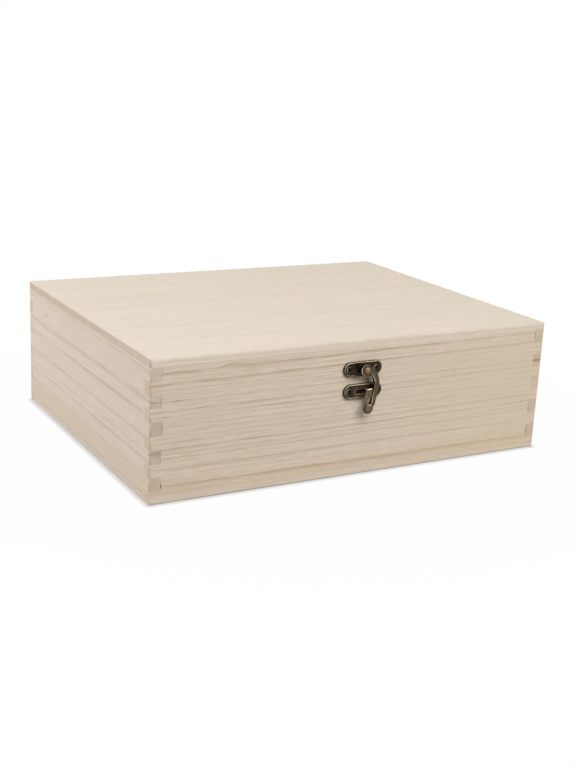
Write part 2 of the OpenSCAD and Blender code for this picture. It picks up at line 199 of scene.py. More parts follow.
# wood: growth lines run along each board, and its sawn ends show end grain
frontBoard = {
    "name": "frontWood",
    "axes": "xzy",  # along the grain, across it, into the board
    "outer": -117.5,  # where its outer face lies
    "fan": 0.00024,  # how fast the lines spread along the board
    "fanHome": 30,  # place across the board that they spread from
    "drift": -0.0002,  # how fast the late wood's share grows along the board
    "fade": 0.0015,  # how fast the lines lose strength along the board
    "sway": 1.2,  # how far the lines wander, mm
    "swirl": (-95, 88, 16, 3.5, -3.0),  # a curl in the grain: place, size and lift
    "lines": (  # place across the board, strength, width
        (6.0, 0.3, 1.4), (10.6, 1.25, 2.6), (22.5, 0.5, 2.0), (29.6, 0.6, 1.3), (32.6, 0.45, 1.2),
        (35.6, 0.8, 1.5), (40.0, 0.7, 1.5), (43.2, 0.35, 1.0), (47.0, 0.25, 1.0), (50.3, 0.5, 1.2),
        (53.6, 0.3, 1.2), (57.0, 0.6, 1.3), (60.6, 0.85, 1.5), (64.0, 0.2, 1.0), (70.0, 0.2, 1.2),
        (74.0, 0.25, 1.2), (78.0, 0.95, 1.8), (81.4, 0.2, 1.2), (84.8, 1.0, 1.8),
    ),
    "fine": 0.88,  # strength of the streaks between the lines
    "seed": 3,
    "pale": paint(229, 212, 194),
    "late": paint(194, 172, 144),
    "warmth": (9, 4, 0.35),  # a warm band along the board: place across it, width, strength
    "honey": 0.3,  # how yellow the right end turns
    "ends": ((12, 0.12), (30, 0.14), (48, 0.2), (84, 0.28)),  # how brown the sawn ends are across the board
    "paintedGapShade": (  # painted shade in the narrow gaps of the finger joints and the saw cut: place, half size, strength
        (-142.2, 11.8, 0.4, 1.3, 0.95), (-141.9, 49.0, 0.7, 3.6, 0.3), (142.2, 84.0, 0.5, 3.0, 0.55),
        (142.1, 13.8, 0.5, 3.2, 0.5), (142.2, 31.0, 0.4, 3.6, 0.3), (-131.0, 65.6, 5.5, 0.25, 0.5),
    ),
    "knotsAndPaintedShade": (  # painted shade between the latch plates, beside the hook's arm and under the catch plate, as above
        (-4.0, 67.2, 9.5, 1.9, 0.5), (3.5, 65.5, 4.0, 3.0, 0.4), (-4.0, 53.0, 9.5, 1.2, 0.4),
    ),
}
backBoard = {
    "name": "backWood",
    "axes": "xzy",
    "outer": 117.5,
    "fan": -0.0002,
    "fanHome": 55,
    "drift": 0.0003,
    "sway": 1.8,
    "swirl": (60, 30, 40, 12, 4.0),
    "lines": (
        (7.0, 0.5, 1.6), (16.5, 0.8, 1.8), (20.5, 0.4, 1.2), (24.0, 0.5, 1.4), (33.5, 0.8, 1.8),
        (37.0, 0.4, 1.2), (41.0, 0.5, 1.2), (47.5, 0.7, 1.6), (52.0, 0.4, 1.2), (58.0, 0.5, 1.4),
        (64.0, 0.4, 1.2), (69.0, 0.8, 1.8), (76.5, 0.5, 1.4), (84.0, 0.7, 1.8),
    ),
    "fine": 0.8,
    "seed": 17,
    "pale": paint(229, 213, 193),
    "late": paint(194, 173, 147),
    "warmth": (80, 14, 0.25),
    "ends": ((12, 0.12), (48, 0.1), (84, 0.12)),
    "paintedGapShade": ((142.2, 31.0, 0.5, 2.6, 0.45), (-142.2, 66.0, 0.5, 2.6, 0.4)),
}
leftBoard = {
    "name": "leftWood",
    "axes": "yzx",
    "outer": -150,
    "fan": 0.00003,
    "fanHome": 60,
    "drift": -0.0006,
    "sway": 1.0,
    "swirl": (60, 88, 60, 5, 2.5),
    "lines": (
        (5.5, 0.7, 1.8), (18.6, 0.35, 2.4), (28.8, 0.6, 2.4), (34.0, 0.35, 2.2), (43.0, 0.6, 2.6),
        (57.4, 0.7, 2.8), (67.6, 0.6, 2.8), (77.5, 0.2, 2.0), (85.5, 0.4, 2.6), (89.0, 0.6, 2.4),
    ),
    "fine": 0.6,
    "seed": 29,
    "pale": paint(229, 215, 201),
    "late": paint(196, 177, 155),
    "warmth": (12, 7, 0.35),
    "ends": ((8, 0.2), (13, 0.35), (31, 0.36), (49, 0.46), (66, 0.28), (83, 0.2)),
    "paintedGapShade": ((-117.5, 33.5, 1.0, 1.6, 0.3), (-118.5, 65.65, 1.0, 0.4, 0.85)),
    "knotsAndPaintedShade": ((77.5, 75.3, 2.6, 1.3, 0.3),),  # a pin knot
}
rightBoard = {
    "name": "rightWood",
    "axes": "yzx",
    "outer": 150,
    "fan": -0.00008,
    "fanHome": 40,
    "drift": 0.0004,
    "sway": 1.2,
    "swirl": (-50, 40, 50, 10, 3.0),
    "lines": (
        (8.0, 0.6, 1.8), (17.5, 0.4, 1.4), (26.5, 0.7, 1.8), (38.0, 0.5, 1.6), (46.0, 0.4, 1.4),
        (55.5, 0.7, 1.8), (63.0, 0.35, 1.4), (73.0, 0.6, 1.8), (82.5, 0.6, 1.8),
    ),
    "fine": 0.65,
    "seed": 41,
    "pale": paint(229, 213, 189),
    "late": paint(195, 174, 145),
    "warmth": (70, 10, 0.3),
    "ends": ((13, 0.24), (31, 0.24), (49, 0.16), (66, 0.4), (83, 0.22)),
    "paintedGapShade": ((-117.5, 65.7, 4.0, 0.5, 0.6),),
}
topBoard = {
    "name": "topWood",
    "axes": "xyz",
    "outer": 92.8,
    "fan": 0.00008,
    "fanHome": -20,
    "drift": 0.0007,
    "sway": 2.0,
    "swirl": (-80, -80, 30, 14, 2.5),
    "lines": (
        (-116.4, 0.5, 0.9), (-115.0, 0.55, 0.9), (-98, 0.2, 3.0), (-81, 0.25, 1.6), (-76, 0.35, 2.2),
        (-66, 0.25, 1.8), (-59, 0.2, 2.4), (-47, 0.3, 1.6), (-42, 0.35, 2.4), (-37.5, 0.25, 1.4),
        (-33, 0.25, 2.0), (-19, 0.2, 2.4), (16.5, 0.4, 3.0), (45, 0.4, 3.0), (78, 0.15, 4.0),
        (101, 0.2, 3.0),
    ),
    "fine": 0.64,
    "seed": 53,
    # paler and cooler than the walls: partly the board's own tone, partly painted cooler light on the top
    "pale": paint(236, 224, 208),
    "late": paint(209, 193, 172),
    "warmth": (30, 16, 0.06),
    "ends": ((-110, 0.42), (0, 0.5), (110, 0.55)),
    "paintedArrisShade": 0.35,  # painted shade on the rounded edges, in the end-grain brown, taking back the extra light they catch
}
bottomBoard = {
    "name": "bottomWood",
    "axes": "xyz",
    "outer": 0,
    "fan": 0.0001,
    "fanHome": 10,
    "drift": 0.0002,
    "sway": 3.0,
    "swirl": (20, 10, 60, 30, 9.0),
    "lines": (
        (-92, 0.6, 2.6), (-70, 0.4, 2.2), (-51, 0.6, 2.4), (-30, 0.4, 2.2), (-8, 0.7, 2.8),
        (14, 0.4, 2.2), (37, 0.7, 2.6), (60, 0.4, 2.2), (86, 0.6, 2.6),
    ),
    "fine": 0.6,
    "seed": 67,
    "pale": paint(226, 209, 187),
    "late": paint(193, 170, 141),
    "warmth": (-40, 30, 0.3),
    "ends": ((-110, 0.3), (110, 0.3)),
}
grain = {
    "slant": 0.6,  # how the growth lines lean into the board
    "base": 0.2,  # share of late wood where no line runs
    "lineShape": (  # across a growth line: share of its width, share of its strength
        (-1.0, 0.0), (-0.35, 0.5), (0.0, 1.0), (0.35, 0.0),
    ),
    "rampLines": 5,  # lines to a ramp, few enough for thin ones to stay crisp
    "rampMargin": 0.5,
    "noises": {  # mm along the grain, across it and into the board (or alike all through), seed, detail
        "sway": (95, 38, 30, 0, 1),
        "ripple": (16, 5, 8, 3, 2),
        "broken": (30, 6, None, 5, 2),
        "fine": (110, 1 / 0.8, None, 11, 2),
        "hair": (45, 1 / 2, None, 17, 2),
        "fleck": (13, 1 / 1.2, None, 19, 2),
        "broad": (190, 1 / 0.14, None, 23, 2),
        "fibre": (12, 1 / 1.3, 1 / 1.3, 0, 3),
        "pores": (3.2, 1 / 4.5, 1 / 4.5, 7, 1),
        "patches": (60, 6, None, 31, 2),
        "tint": (45, 6, None, 37, 2),
        "blotch": (70, 26, 20, 41, 2),
    },
    "ripple": 0.5,  # how far small waves bend the lines, mm
    "broken": (2.2, 0.7),  # how unevenly the lines run: swing and middle
    "streaks": (("fine", 0.8), ("hair", 0.9), ("fleck", 0.9)),
    "broad": 0.25,
    "endLoss": 0.8,  # how far the lines fade on the sawn ends
    "poreRise": (0.12, 0.22),
    "poreDark": 0.16,
    "fibreDark": 0.22,
    "blotchDark": 0.1,
    "tint": 0.5,
    "honeyReach": (0.0, 150.0),  # mm from the middle over which a yellow end comes in
    "sawnFaces": (0.55, 0.9),  # how squarely a face looks along the grain, from none of the end grain to all
    "sideFaces": (0.3, 0.8),  # the same for the broad sides
    "arrisFaces": (0.02, 0.25),  # how far a rounded edge turns away from every axis
    "edgeShare": 0.25,
    "dots": (1.6, 61),  # pores on the ends: number to a mm, seed
    "dotRise": (-0.05, 0.3),
    "dotBrown": 0.18,
    "shade": (5, 4, 71),  # clouds on the ends: mm across, mm deep, seed
    "shadeBrown": 0.4,
    "relief": (0.5, 0.6, 0.5, 0.8),  # dip of late wood and pores, rise of fibres, dip of the dots
    "bump": {"Strength": 0.25, "Distance": 0.0001},
    "rough": (0.6, 0.15, 0.06),  # middle, share of the fibres, share of the late wood
    "specular": 0.3,
    "endBrown": paint(176, 153, 126),
    "paintedEdgeWarmth": paint(224, 206, 183),  # long sawn edges: a painted warmer light, so that the lid's front edge takes the walls' tone
    "warmBrown": paint(214, 188, 156),
    "honey": paint(222, 204, 168),
    "boreDark": paint(150, 128, 102),
    "paintedGapShade": paint(52, 42, 34),
    "knotsAndPaintedShade": paint(140, 106, 74),
}


# growth lines at chosen places, each with a slow rise and a sudden end
def growthLines(rings, lines):
    total = 0.0
    for first in range(0, len(lines), grain["rampLines"]):
        group = lines[first:first + grain["rampLines"]]
        low = group[0][0] - group[0][2] - grain["rampMargin"]
        high = group[-1][0] + group[-1][2] + grain["rampMargin"]
        stops = []
        for place, strength, width in group:
            for offset, level in grain["lineShape"]:
                stops.append(((place + offset * width - low) / (high - low), level * strength))
        share = (rings - low) / (high - low)
        total = rings.node("ShaderNodeValToRGB", {"stops": stops}, {0: share}) + total
    return total


def woodFinish(board):
    finish, shader, start = newFinish(board["name"])
    seed = board["seed"]
    spot = start.node("ShaderNodeTexCoord", {}, {}, "Object")
    spot = start.node("ShaderNodeVectorMath", {"operation": "SCALE"}, {0: spot, "Scale": 1 / mm})
    facing = start.node("ShaderNodeTexCoord", {}, {}, "Normal")
    places = dict(zip("xyz", spot.parts()))
    faces = dict(zip("xyz", [abs(part) for part in facing.parts()]))
    along, across, into = (places[axis] for axis in board["axes"])
    endFace, edgeFace, sideFace = (faces[axis] for axis in board["axes"])
    depth = abs(into - board["outer"])

    # a noise drawn out along the board; its second direction is the board's height or the growth rings
    def noise(name, second):
        length, width, deep, offset, detail = grain["noises"][name]
        third = seed + offset
        if deep:
            third = depth / deep + third
        return start.noise(along / length, second / width, third, detail)

    # growth rings, bent by the fan, a slow sway, small ripples and one curl
    fanned = across - along * (across - board["fanHome"]) * board["fan"]
    sway = noise("sway", across) * (2 * board["sway"])
    swirlX, swirlY, swirlLength, swirlHeight, lift = board["swirl"]
    swirl = along.bell(swirlX, swirlLength) * across.bell(swirlY, swirlHeight) * lift
    ripple = noise("ripple", across) * grain["ripple"]
    rings = fanned + sway + swirl + ripple + depth * grain["slant"]

    # share of late wood: the lines, and the streaks and broad bands between them
    swing, middling = grain["broken"]
    lines = growthLines(rings, board["lines"]) * (noise("broken", rings) * swing + middling)
    streaks = sum(noise(name, rings) * weight for name, weight in grain["streaks"]) * board["fine"]
    late = (lines + streaks) * (1 - along * board.get("fade", 0.0))
    late = late + noise("broad", rings) * grain["broad"] + along * board["drift"] + grain["base"]
    sawn = endFace.rise(*grain["sawnFaces"])
    late = late * (1 - sawn * grain["endLoss"]) + sawn * grain["base"]

    # colour of the sides, with fibres and short open pores
    fibre = noise("fibre", across)
    pores = noise("pores", across).rise(*grain["poreRise"])
    blotch = noise("blotch", across)
    warmPlace, warmWidth, warmth = board["warmth"]
    warm = across.bell(warmPlace, warmWidth) * (noise("patches", across) + 1) * warmth
    yellow = noise("tint", rings) * grain["tint"] + along.rise(*grain["honeyReach"]) * board.get("honey", 0.0)
    dark = pores * grain["poreDark"] + fibre * grain["fibreDark"] + blotch * grain["blotchDark"]
    colour = late.mix(board["pale"], board["late"])
    colour = warm.mix(colour, grain["warmBrown"])
    colour = yellow.mix(colour, grain["honey"])
    colour = dark.atLeast(0.0).mix(colour, grain["boreDark"])

    # sawn edges and ends: browner, with the pores as dots on the ends; the long edges' warmer tint is painted
    # light and the rounded edges' brown is painted shade
    edge = (1 - sideFace.rise(*grain["sideFaces"])) * (1 - sawn)
    # painted shade: the rounded edges are browned to take back the extra light they catch
    paintedArrisShade = (1 - endFace.atLeast(edgeFace).atLeast(sideFace)).rise(*grain["arrisFaces"])
    dotRate, dotSeed = grain["dots"]
    dots = start.noise(across * dotRate, depth * dotRate, seed + dotSeed).rise(*grain["dotRise"])
    shadeWidth, shadeDepth, shadeSeed = grain["shade"]
    shade = start.noise(across / shadeWidth, depth / shadeDepth, seed + shadeSeed, 1)
    first, last = board["ends"][0][0], board["ends"][-1][0]
    stops = [((place - first) / (last - first), level) for place, level in board["ends"]]
    brown = start.node("ShaderNodeValToRGB", {"stops": stops}, {0: (across - first) / (last - first)})
    brown = dots * grain["dotBrown"] + shade * grain["shadeBrown"] + brown
    colour = (edge * grain["edgeShare"]).mix(colour, grain["paintedEdgeWarmth"])
    colour = (paintedArrisShade * board.get("paintedArrisShade", 0.0)).mix(colour, grain["endBrown"])
    colour = (sawn * brown).mix(colour, grain["endBrown"])
    # painted shade in the joint gaps and round the latch, and a pin knot, laid over the colour
    for kind in ("paintedGapShade", "knotsAndPaintedShade"):
        for markX, markY, length, height, strength in board.get(kind, ()):
            patchMask = along.bell(markX, length) * across.bell(markY, height) * (strength + fibre * strength)
            colour = patchMask.mix(colour, grain[kind])

    lateDip, poreDip, fibreRise, dotDip = grain["relief"]
    relief = fibre * fibreRise - late * lateDip - pores * poreDip - sawn * dots * dotDip
    bump = start.node("ShaderNodeBump", {}, {"Height": relief, **grain["bump"]})
    rough, fibreRough, lateRough = grain["rough"]
    rough = rough + fibre * fibreRough + late * lateRough
    start.fill(shader, {
        "Base Color": colour, "Roughness": rough, "Normal": bump, "Specular IOR Level": grain["specular"],
    })
    return finish


# metal: dark patina, lighter by the mesh's own values of wear and painted glint: rubbed edges, painted
# highlights on the sides that face a chosen way, and painted shade where they are kept dull
bronze = {
    "stops": (
        (0.0, paint(30, 25, 22)),
        (0.3, paint(82, 72, 58)),
        (0.6, paint(126, 111, 88)),
        (0.85, paint(190, 175, 144)),
        (1.0, paint(240, 230, 206)),
    ),
    "mottle": 0.34,
    "rough": 0.42,
}
brass = {
    "stops": (
        (0.0, paint(50, 41, 28)),
        (0.35, paint(98, 82, 56)),
        (0.7, paint(156, 134, 100)),
        (1.0, paint(218, 200, 168)),
    ),
    "mottle": 0.24,
    "rough": 0.52,
}
patina = {
    "coarse": (420.0, 3.0),  # scale and detail of its blotches
    "grains": (2600.0, 2.0),
    "grainShare": 0.5,  # strength of the grains beside the blotches
    "polish": 0.14,  # how much smoother the worn and glinting parts are
    "grit": 0.12,  # how much rougher the grains are
    "bump": {"Strength": 0.12, "Distance": 0.00005},
}


def metalFinish(name, metal):
    finish, shader, start = newFinish(name)
    spot = start.node("ShaderNodeTexCoord", {}, {}, "Object")

    def noise(kind):
        scale, detail = patina[kind]
        return start.node("ShaderNodeTexNoise", {}, {"Vector": spot, "Scale": scale, "Detail": detail}) - 0.5

    coarse = noise("coarse")
    grains = noise("grains")
    rub = start.node("ShaderNodeAttribute", {"attribute_name": "rub"}, {}, "Fac")
    wearGlintAndMottle = rub + coarse * metal["mottle"] + grains * (patina["grainShare"] * metal["mottle"])
    colour = start.node("ShaderNodeValToRGB", {"stops": metal["stops"]}, {0: wearGlintAndMottle})
    bump = start.node("ShaderNodeBump", {}, {"Height": grains + coarse, **patina["bump"]})
    rough = metal["rough"] - rub * patina["polish"] + grains * patina["grit"]
    start.fill(shader, {"Base Color": colour, "Roughness": rough, "Normal": bump, "Metallic": 1.0})
    return finish


bronzeFinish = metalFinish("antiqueBronze", bronze)
brassFinish = metalFinish("wornBrass", brass)
print("metal finishes made")


# mesh helpers: shapes are drawn in mm, with x along the wall, y up and z out of the wood
smoothAngle = 35  # degrees between faces that are shaded as one
squareOn = 0.9999  # faces that look this squarely along an axis stay flat


def newShape():
    shape = bmesh.new()
    shape.verts.layers.float.new("rub")
    return shape


# rings of verts, bridged in turn; the wear and painted glint of a ring is one value, or a list with one for
# each point
def addRings(shape, pointsAndWearGlints):
    layer = shape.verts.layers.float["rub"]
    rings = []
    for points, rub in pointsAndWearGlints:
        ring = [shape.verts.new(point) for point in points]
        wearAndGlints = rub if isinstance(rub, list) else [rub] * len(ring)
        for vert, value in zip(ring, wearAndGlints):
            vert[layer] = value
        rings.append(ring)
    for first, second in zip(rings, rings[1:]):
        bridge(shape, first, second)
    return rings


def heading(turn):
    return Vector((cos(radians(turn)), sin(radians(turn))))


# painted highlight on an outline: the wear value in full where the outline faces a chosen way, a share of it
# elsewhere
def glintByFacing(normals, way, rub, rest):
    return [rub * (rest + (1 - rest) * max(0.0, normal.dot(heading(way)))) for normal in normals]


# faces between two rings; a ring of one point closes the shape there
def bridge(shape, first, second):
    count = max(len(first), len(second))
    for i in range(count):
        j = (i + 1) % count
        corners = [ring[k % len(ring)] for ring, k in ((first, i), (first, j), (second, j), (second, i))]
        corners = list(dict.fromkeys(corners))
        if len(corners) > 2:
            shape.faces.new(corners)


def circle(radius, height, steps, centre=(0, 0)):
    turns = [2 * pi * i / steps for i in range(steps)]
    return [(centre[0] + radius * cos(t), centre[1] + radius * sin(t), height) for t in turns]


# rings turned about a z axis, from a profile of (radius, height, wear and glint)
def turnedRings(shape, profile, steps, centre=(0, 0)):
    layers = []
    for radius, height, rub in profile:
        layers.append((circle(radius, height, steps if radius else 1, centre), rub))
    return addRings(shape, layers)


# the same as a closed shape, its profile running from the foot up
def addTurned(shape, profile, steps, centre=(0, 0)):
    rings = turnedRings(shape, profile, steps, centre)
    bridge(shape, rings[-1], rings[0])


def isInside(point, loop):
    inside = False
    for i, corner in enumerate(loop):
        other = loop[i - 1]
        if (corner.y > point.y) != (other.y > point.y):
            share = (point.y - corner.y) / (other.y - corner.y)
            inside ^= point.x < corner.x + share * (other.x - corner.x)
    return inside


# a flat face at one height between a loop of verts and the loops of its holes
def addFlat(shape, loops):
    flat = [vert for loop in loops for vert in loop]
    edges = []
    first = 0
    for loop in loops:
        count = len(loop)
        edges += [(first + i, first + (i + 1) % count) for i in range(count)]
        first += count
    points = [vert.co.to_2d() for vert in flat]
    insideOnly, tolerance = 1, 1e-5
    _, _, triangles, sources, _, _ = delaunay_2d_cdt(points, edges, [], insideOnly, tolerance)
    holes = [[vert.co.to_2d() for vert in loop] for loop in loops[1:]]
    for triangle in triangles:
        corners = [flat[sources[i][0]] for i in triangle]
        centre = sum((vert.co for vert in corners), Vector()) / len(corners)
        if any(isInside(centre, hole) for hole in holes):
            continue
        if (corners[1].co - corners[0].co).cross(corners[2].co - corners[0].co).z < 0:
            corners.reverse()
        shape.faces.new(corners)


def drawnMesh(shape, name, place, material, smooth=smoothAngle):
    bmesh.ops.recalc_face_normals(shape, faces=shape.faces)
    return finishMesh(shape, name, place, material, smooth)


def finishMesh(shape, name, place, material, smooth=smoothAngle):
    bmesh.ops.scale(shape, vec=(mm, mm, mm), verts=shape.verts)
    bmesh.ops.transform(shape, matrix=place, verts=shape.verts)
    mesh = bpy.data.meshes.new(name)
    shape.to_mesh(mesh)
    shape.free()
    mesh.shade_smooth()
    mesh.set_sharp_from_angle(angle=radians(smooth))
    for face in mesh.polygons:
        face.use_smooth = max(abs(part) for part in face.normal) < squareOn
    mesh.materials.append(material)
    return mesh


def addPiece(mesh, body, nodes):
    piece = addObject(mesh.name, mesh)
    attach(piece, body)
    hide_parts(*nodes)


def middle(node):
    low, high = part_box(node)
    return (low + high) / 2


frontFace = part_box("base_front_wall")[0].y
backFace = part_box("base_back_wall")[1].y
facingFront = Euler((radians(90), 0, 0))
facingBack = Euler((radians(90), 0, radians(180)))


def onFront(node):  # drawing place on the front, at the middle of a node
    at = middle(node)
    return Matrix.Translation((at.x, frontFace, at.z)) @ facingFront.to_matrix().to_4x4()


# pieces that copy a sawn or bent solid: its points merged, its flat sides whole, its sharp edges eased
easing = {
    "merge": 0.002,  # mm between points that are one
    "flat": 0.5,  # degrees between faces that are one
    "sharp": 32,  # degrees between faces whose edge is eased
    "segments": 2,
    "profile": 0.5,  # round
}


def easedCopy(node, edge, rub, edgeRub):
    shape = newShape()
    shape.from_mesh(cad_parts[node].data)
    bmesh.ops.remove_doubles(shape, verts=shape.verts, dist=easing["merge"] * mm)
    flat = radians(easing["flat"])
    bmesh.ops.dissolve_limit(shape, angle_limit=flat, verts=shape.verts, edges=shape.edges)
    seams = [seam for seam in shape.edges if len(seam.link_faces) == 2]
    sharp = [seam for seam in seams if seam.calc_face_angle(0) > radians(easing["sharp"])]
    eased = bmesh.ops.bevel(
        shape, geom=sharp, offset=edge * mm, offset_type="OFFSET", affect="EDGES", clamp_overlap=False,
        segments=easing["segments"], profile=easing["profile"],
    )
    layer = shape.verts.layers.float["rub"]
    for vert in shape.verts:
        vert[layer] = rub
    for vert in eased["verts"]:
        vert[layer] = edgeRub
    bmesh.ops.scale(shape, vec=(1 / mm, 1 / mm, 1 / mm), verts=shape.verts)
    return shape


def dressCopy(node, body, finish, edge, wearAndGlints=(0.0, 0.0)):  # rub of its faces and of its edges
    shape = easedCopy(node, edge, *wearAndGlints)
    mesh = finishMesh(shape, node.replace("_", "-"), Matrix(), finish)
    addPiece(mesh, body, [node])


# boards of the box; the lid and the base were sawn from the same walls
boardEdge = 0.1  # width of the eased edges, mm
walls = {"front": frontBoard, "back": backBoard, "left": leftBoard, "right": rightBoard}
for side, board in walls.items():
    finish = woodFinish(board)
    for body in ("lid", "base"):
        dressCopy("%s_%s_wall" % (body, side), body, finish, boardEdge)
dressCopy("lid_top_panel", "lid", woodFinish(topBoard), boardEdge)
dressCopy("base_bottom_panel", "base", woodFinish(bottomBoard), boardEdge)
print("boards dressed")


# stamped plates of the latch and the catch
plate = {
    "length": (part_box("latch_plate")[1].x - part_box("latch_plate")[0].x) / mm,
    "height": (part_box("latch_plate")[1].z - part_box("latch_plate")[0].z) / mm,
    "floor": 1.2,  # height of its face
    "rim": (  # inset from the outline, height, wear and glint, the way that its painted highlight faces in degrees; dark on the outer wall, partly patina and partly painted shade
        (0.0, 0.0, 0.0, 120), (0.0, 0.7, 0.04, 120), (0.04, 1.05, 0.06, 120), (0.16, 1.32, 0.2, 120),
        (0.36, 1.47, 0.7, 120), (0.56, 1.5, 1.05, 125), (0.76, 1.43, 0.95, 155), (0.92, 1.3, 0.95, 185),
        (1.05, 1.21, 0.5, 195), (1.2, 1.2, 0.22, 195),
    ),
    "even": 0.3,  # share of the wear and glint that is even all round; the rest is the painted highlight
    "endSteps": 28,
    "screws": 10.3,  # from its middle
    "seat": ((1.1, 0.0, 0.0), (2.22, 1.08, 0.0), (2.28, 1.2, 0.1)),  # countersunk: radius, height, wear and glint
    "seatSteps": 32,
    "boss": (  # radius, height, wear and glint
        (1.4, 1.15, 0.0), (4.0, 1.15, 0.05), (3.8, 1.25, 0.04), (3.62, 1.5, 0.03), (3.52, 1.9, 0.04),
        (3.48, 2.5, 0.06), (3.44, 2.75, 0.1), (3.34, 2.9, 0.12), (3.2, 2.95, 0.08), (1.4, 2.95, 0.03),
    ),
    "bossSteps": 56,
    "slot": (-5.5, 0.1, -1.9, 1.3, 0.4),  # left, right, low, high, corner radius
    "slotSteps": 5,
    "slotWall": (  # inset from the slot's outline, height, wear and glint, with a painted highlight on its top edge
        (0.14, 0.3, 0.0), (0.1, 0.32, 0.0), (0.1, 0.8, 0.1), (0.08, 1.0, 0.5), (0.0, 1.16, 1.0),
        (-0.22, 1.2, 0.3),
    ),
}


# an outline of equal arcs round (centre, first turn), each point with the way it faces
def arcOutline(arcs, sweep, radius, steps):
    normals = []
    points = []
    for centre, start in arcs:
        for i in range(steps + 1):
            normal = heading(start + sweep * i / steps)
            normals.append(normal)
            points.append(centre + radius * normal)
    return points, normals


def racetrack(inset):
    length, height = plate["length"], plate["height"]
    reach = Vector(((length - height) / 2, 0))
    return arcOutline(((reach, -90), (-reach, 90)), 180, height / 2 - inset, plate["endSteps"])


def roundedBox(left, right, low, high, radius, steps):
    left, right, low, high = left + radius, right - radius, low + radius, high - radius
    corners = ((right, high), (left, high), (left, low), (right, low))
    arcs = [(Vector(corner), 90 * i) for i, corner in enumerate(corners)]
    return arcOutline(arcs, 90, radius, steps)


def stampedPlate(shape, withSlot):
    layers = []
    for inset, height, rub, way in plate["rim"]:
        outline, normals = racetrack(inset)
        layers.append(([(x, y, height) for x, y in outline], glintByFacing(normals, way, rub, plate["even"])))
    rim = addRings(shape, layers)
    backLoops = [rim[0]]
    loops = [rim[-1]]
    for side in (-1, 1):
        seat = turnedRings(shape, plate["seat"], plate["seatSteps"], (side * plate["screws"], 0))
        backLoops.append(seat[0])
        loops.append(seat[-1])
    if withSlot:
        outline, normals = roundedBox(*plate["slot"], plate["slotSteps"])
        layers = []
        for inset, height, rub in plate["slotWall"]:
            layers.append(([(*(point - inset * way), height) for point, way in zip(outline, normals)], rub))
        slot = addRings(shape, layers)
        addFlat(shape, [slot[0]])
        loops.append(slot[-1])
    addFlat(shape, loops)
    addFlat(shape, backLoops)


# tab folded out of the catch plate
tab = {
    "left": 0.1,
    "width": 4.45,
    "high": 2.3,
    "low": -3.9,
    "reach": 5.8,  # out of the wood
    "root": 0.2,  # where it starts inside the plate
    "thick": 1.1,
    "fold": 1.5,  # outer radius of its fold
    "edge": 0.5,
    "edgeLimit": 0.9,  # share of half the thickness that the edge may take
    "end": ((0.5, 0.0), (0.14, 0.04), (0.03, 0.12), (0.0, 0.3)),  # way left to its end, how far it draws in
    "legSteps": 6,
    "foldSteps": 12,
    "edgeSteps": 6,
    "faceRub": 0.4,
    "legWearAndGlint": (0.3, 0.9),  # at the top and at the foot of the side that stands out of the plate; the bright foot is a painted reflection
    # painted highlight along the top edge
    "topGlint": 1.05,
    "topSpread": 0.6,  # the lower, the further the top's painted highlight comes down its rounded edges
}


def addTab(shape):
    half = tab["thick"] / 2
    bend = tab["fold"] - half
    leg = tab["reach"] - tab["fold"] - tab["root"]
    foldX = tab["left"] + tab["fold"]
    foldOut = tab["reach"] - tab["fold"]
    path = []  # place along the plate, way out of it, turn, how far the section draws in
    for i in range(tab["legSteps"]):
        path.append((tab["left"] + half, tab["root"] + leg * i / tab["legSteps"], 90, 0.0))
    for i in range(tab["foldSteps"] + 1):
        turn = 180 - 90 * i / tab["foldSteps"]
        path.append((foldX + bend * cos(radians(turn)), foldOut + bend * sin(radians(turn)), turn - 90, 0.0))
    for back, shrink in tab["end"]:
        path.append((tab["left"] + tab["width"] - back, tab["reach"] - half, 0, shrink))
    sections = addRings(shape, [tabSection(*step) for step in path])
    shape.faces.new(sections[0])
    shape.faces.new(sections[-1])


# rounded section of the tab, square to its path
def tabSection(x, out, turn, shrink):
    half = tab["thick"] / 2 - shrink
    low = tab["low"] + shrink
    high = tab["high"] - shrink
    radius = min(tab["edge"], half * tab["edgeLimit"])
    outline, normals = roundedBox(-half, half, low, high, radius, tab["edgeSteps"])
    sideX, sideOut = -sin(radians(turn)), cos(radians(turn))
    folded = 1 - turn / 90
    points = []
    wearAndGlints = []
    for point, normal in zip(outline, normals):
        points.append((x + point.x * sideX, point.y, out + point.x * sideOut))
        # painted highlight on the top edge, painted reflection at the foot of the leg
        leg = tab["legWearAndGlint"][0 if point.y > (low + high) / 2 else 1]
        plain = leg + (tab["faceRub"] - leg) * folded
        wearAndGlints.append(plain + (tab["topGlint"] - plain) * max(0.0, normal.y) ** tab["topSpread"])
    return points, wearAndGlints


shape = newShape()
stampedPlate(shape, False)
addTurned(shape, plate["boss"], plate["bossSteps"])
mesh = drawnMesh(shape, "latch-plate", onFront("latch_plate"), bronzeFinish)
addPiece(mesh, "lid", ["latch_plate"])

shape = newShape()
stampedPlate(shape, True)
addTab(shape)
mesh = drawnMesh(shape, "catch-plate", onFront("catch_plate"), bronzeFinish)
addPiece(mesh, "base", ["catch_plate"])
print("latch and catch plates made")


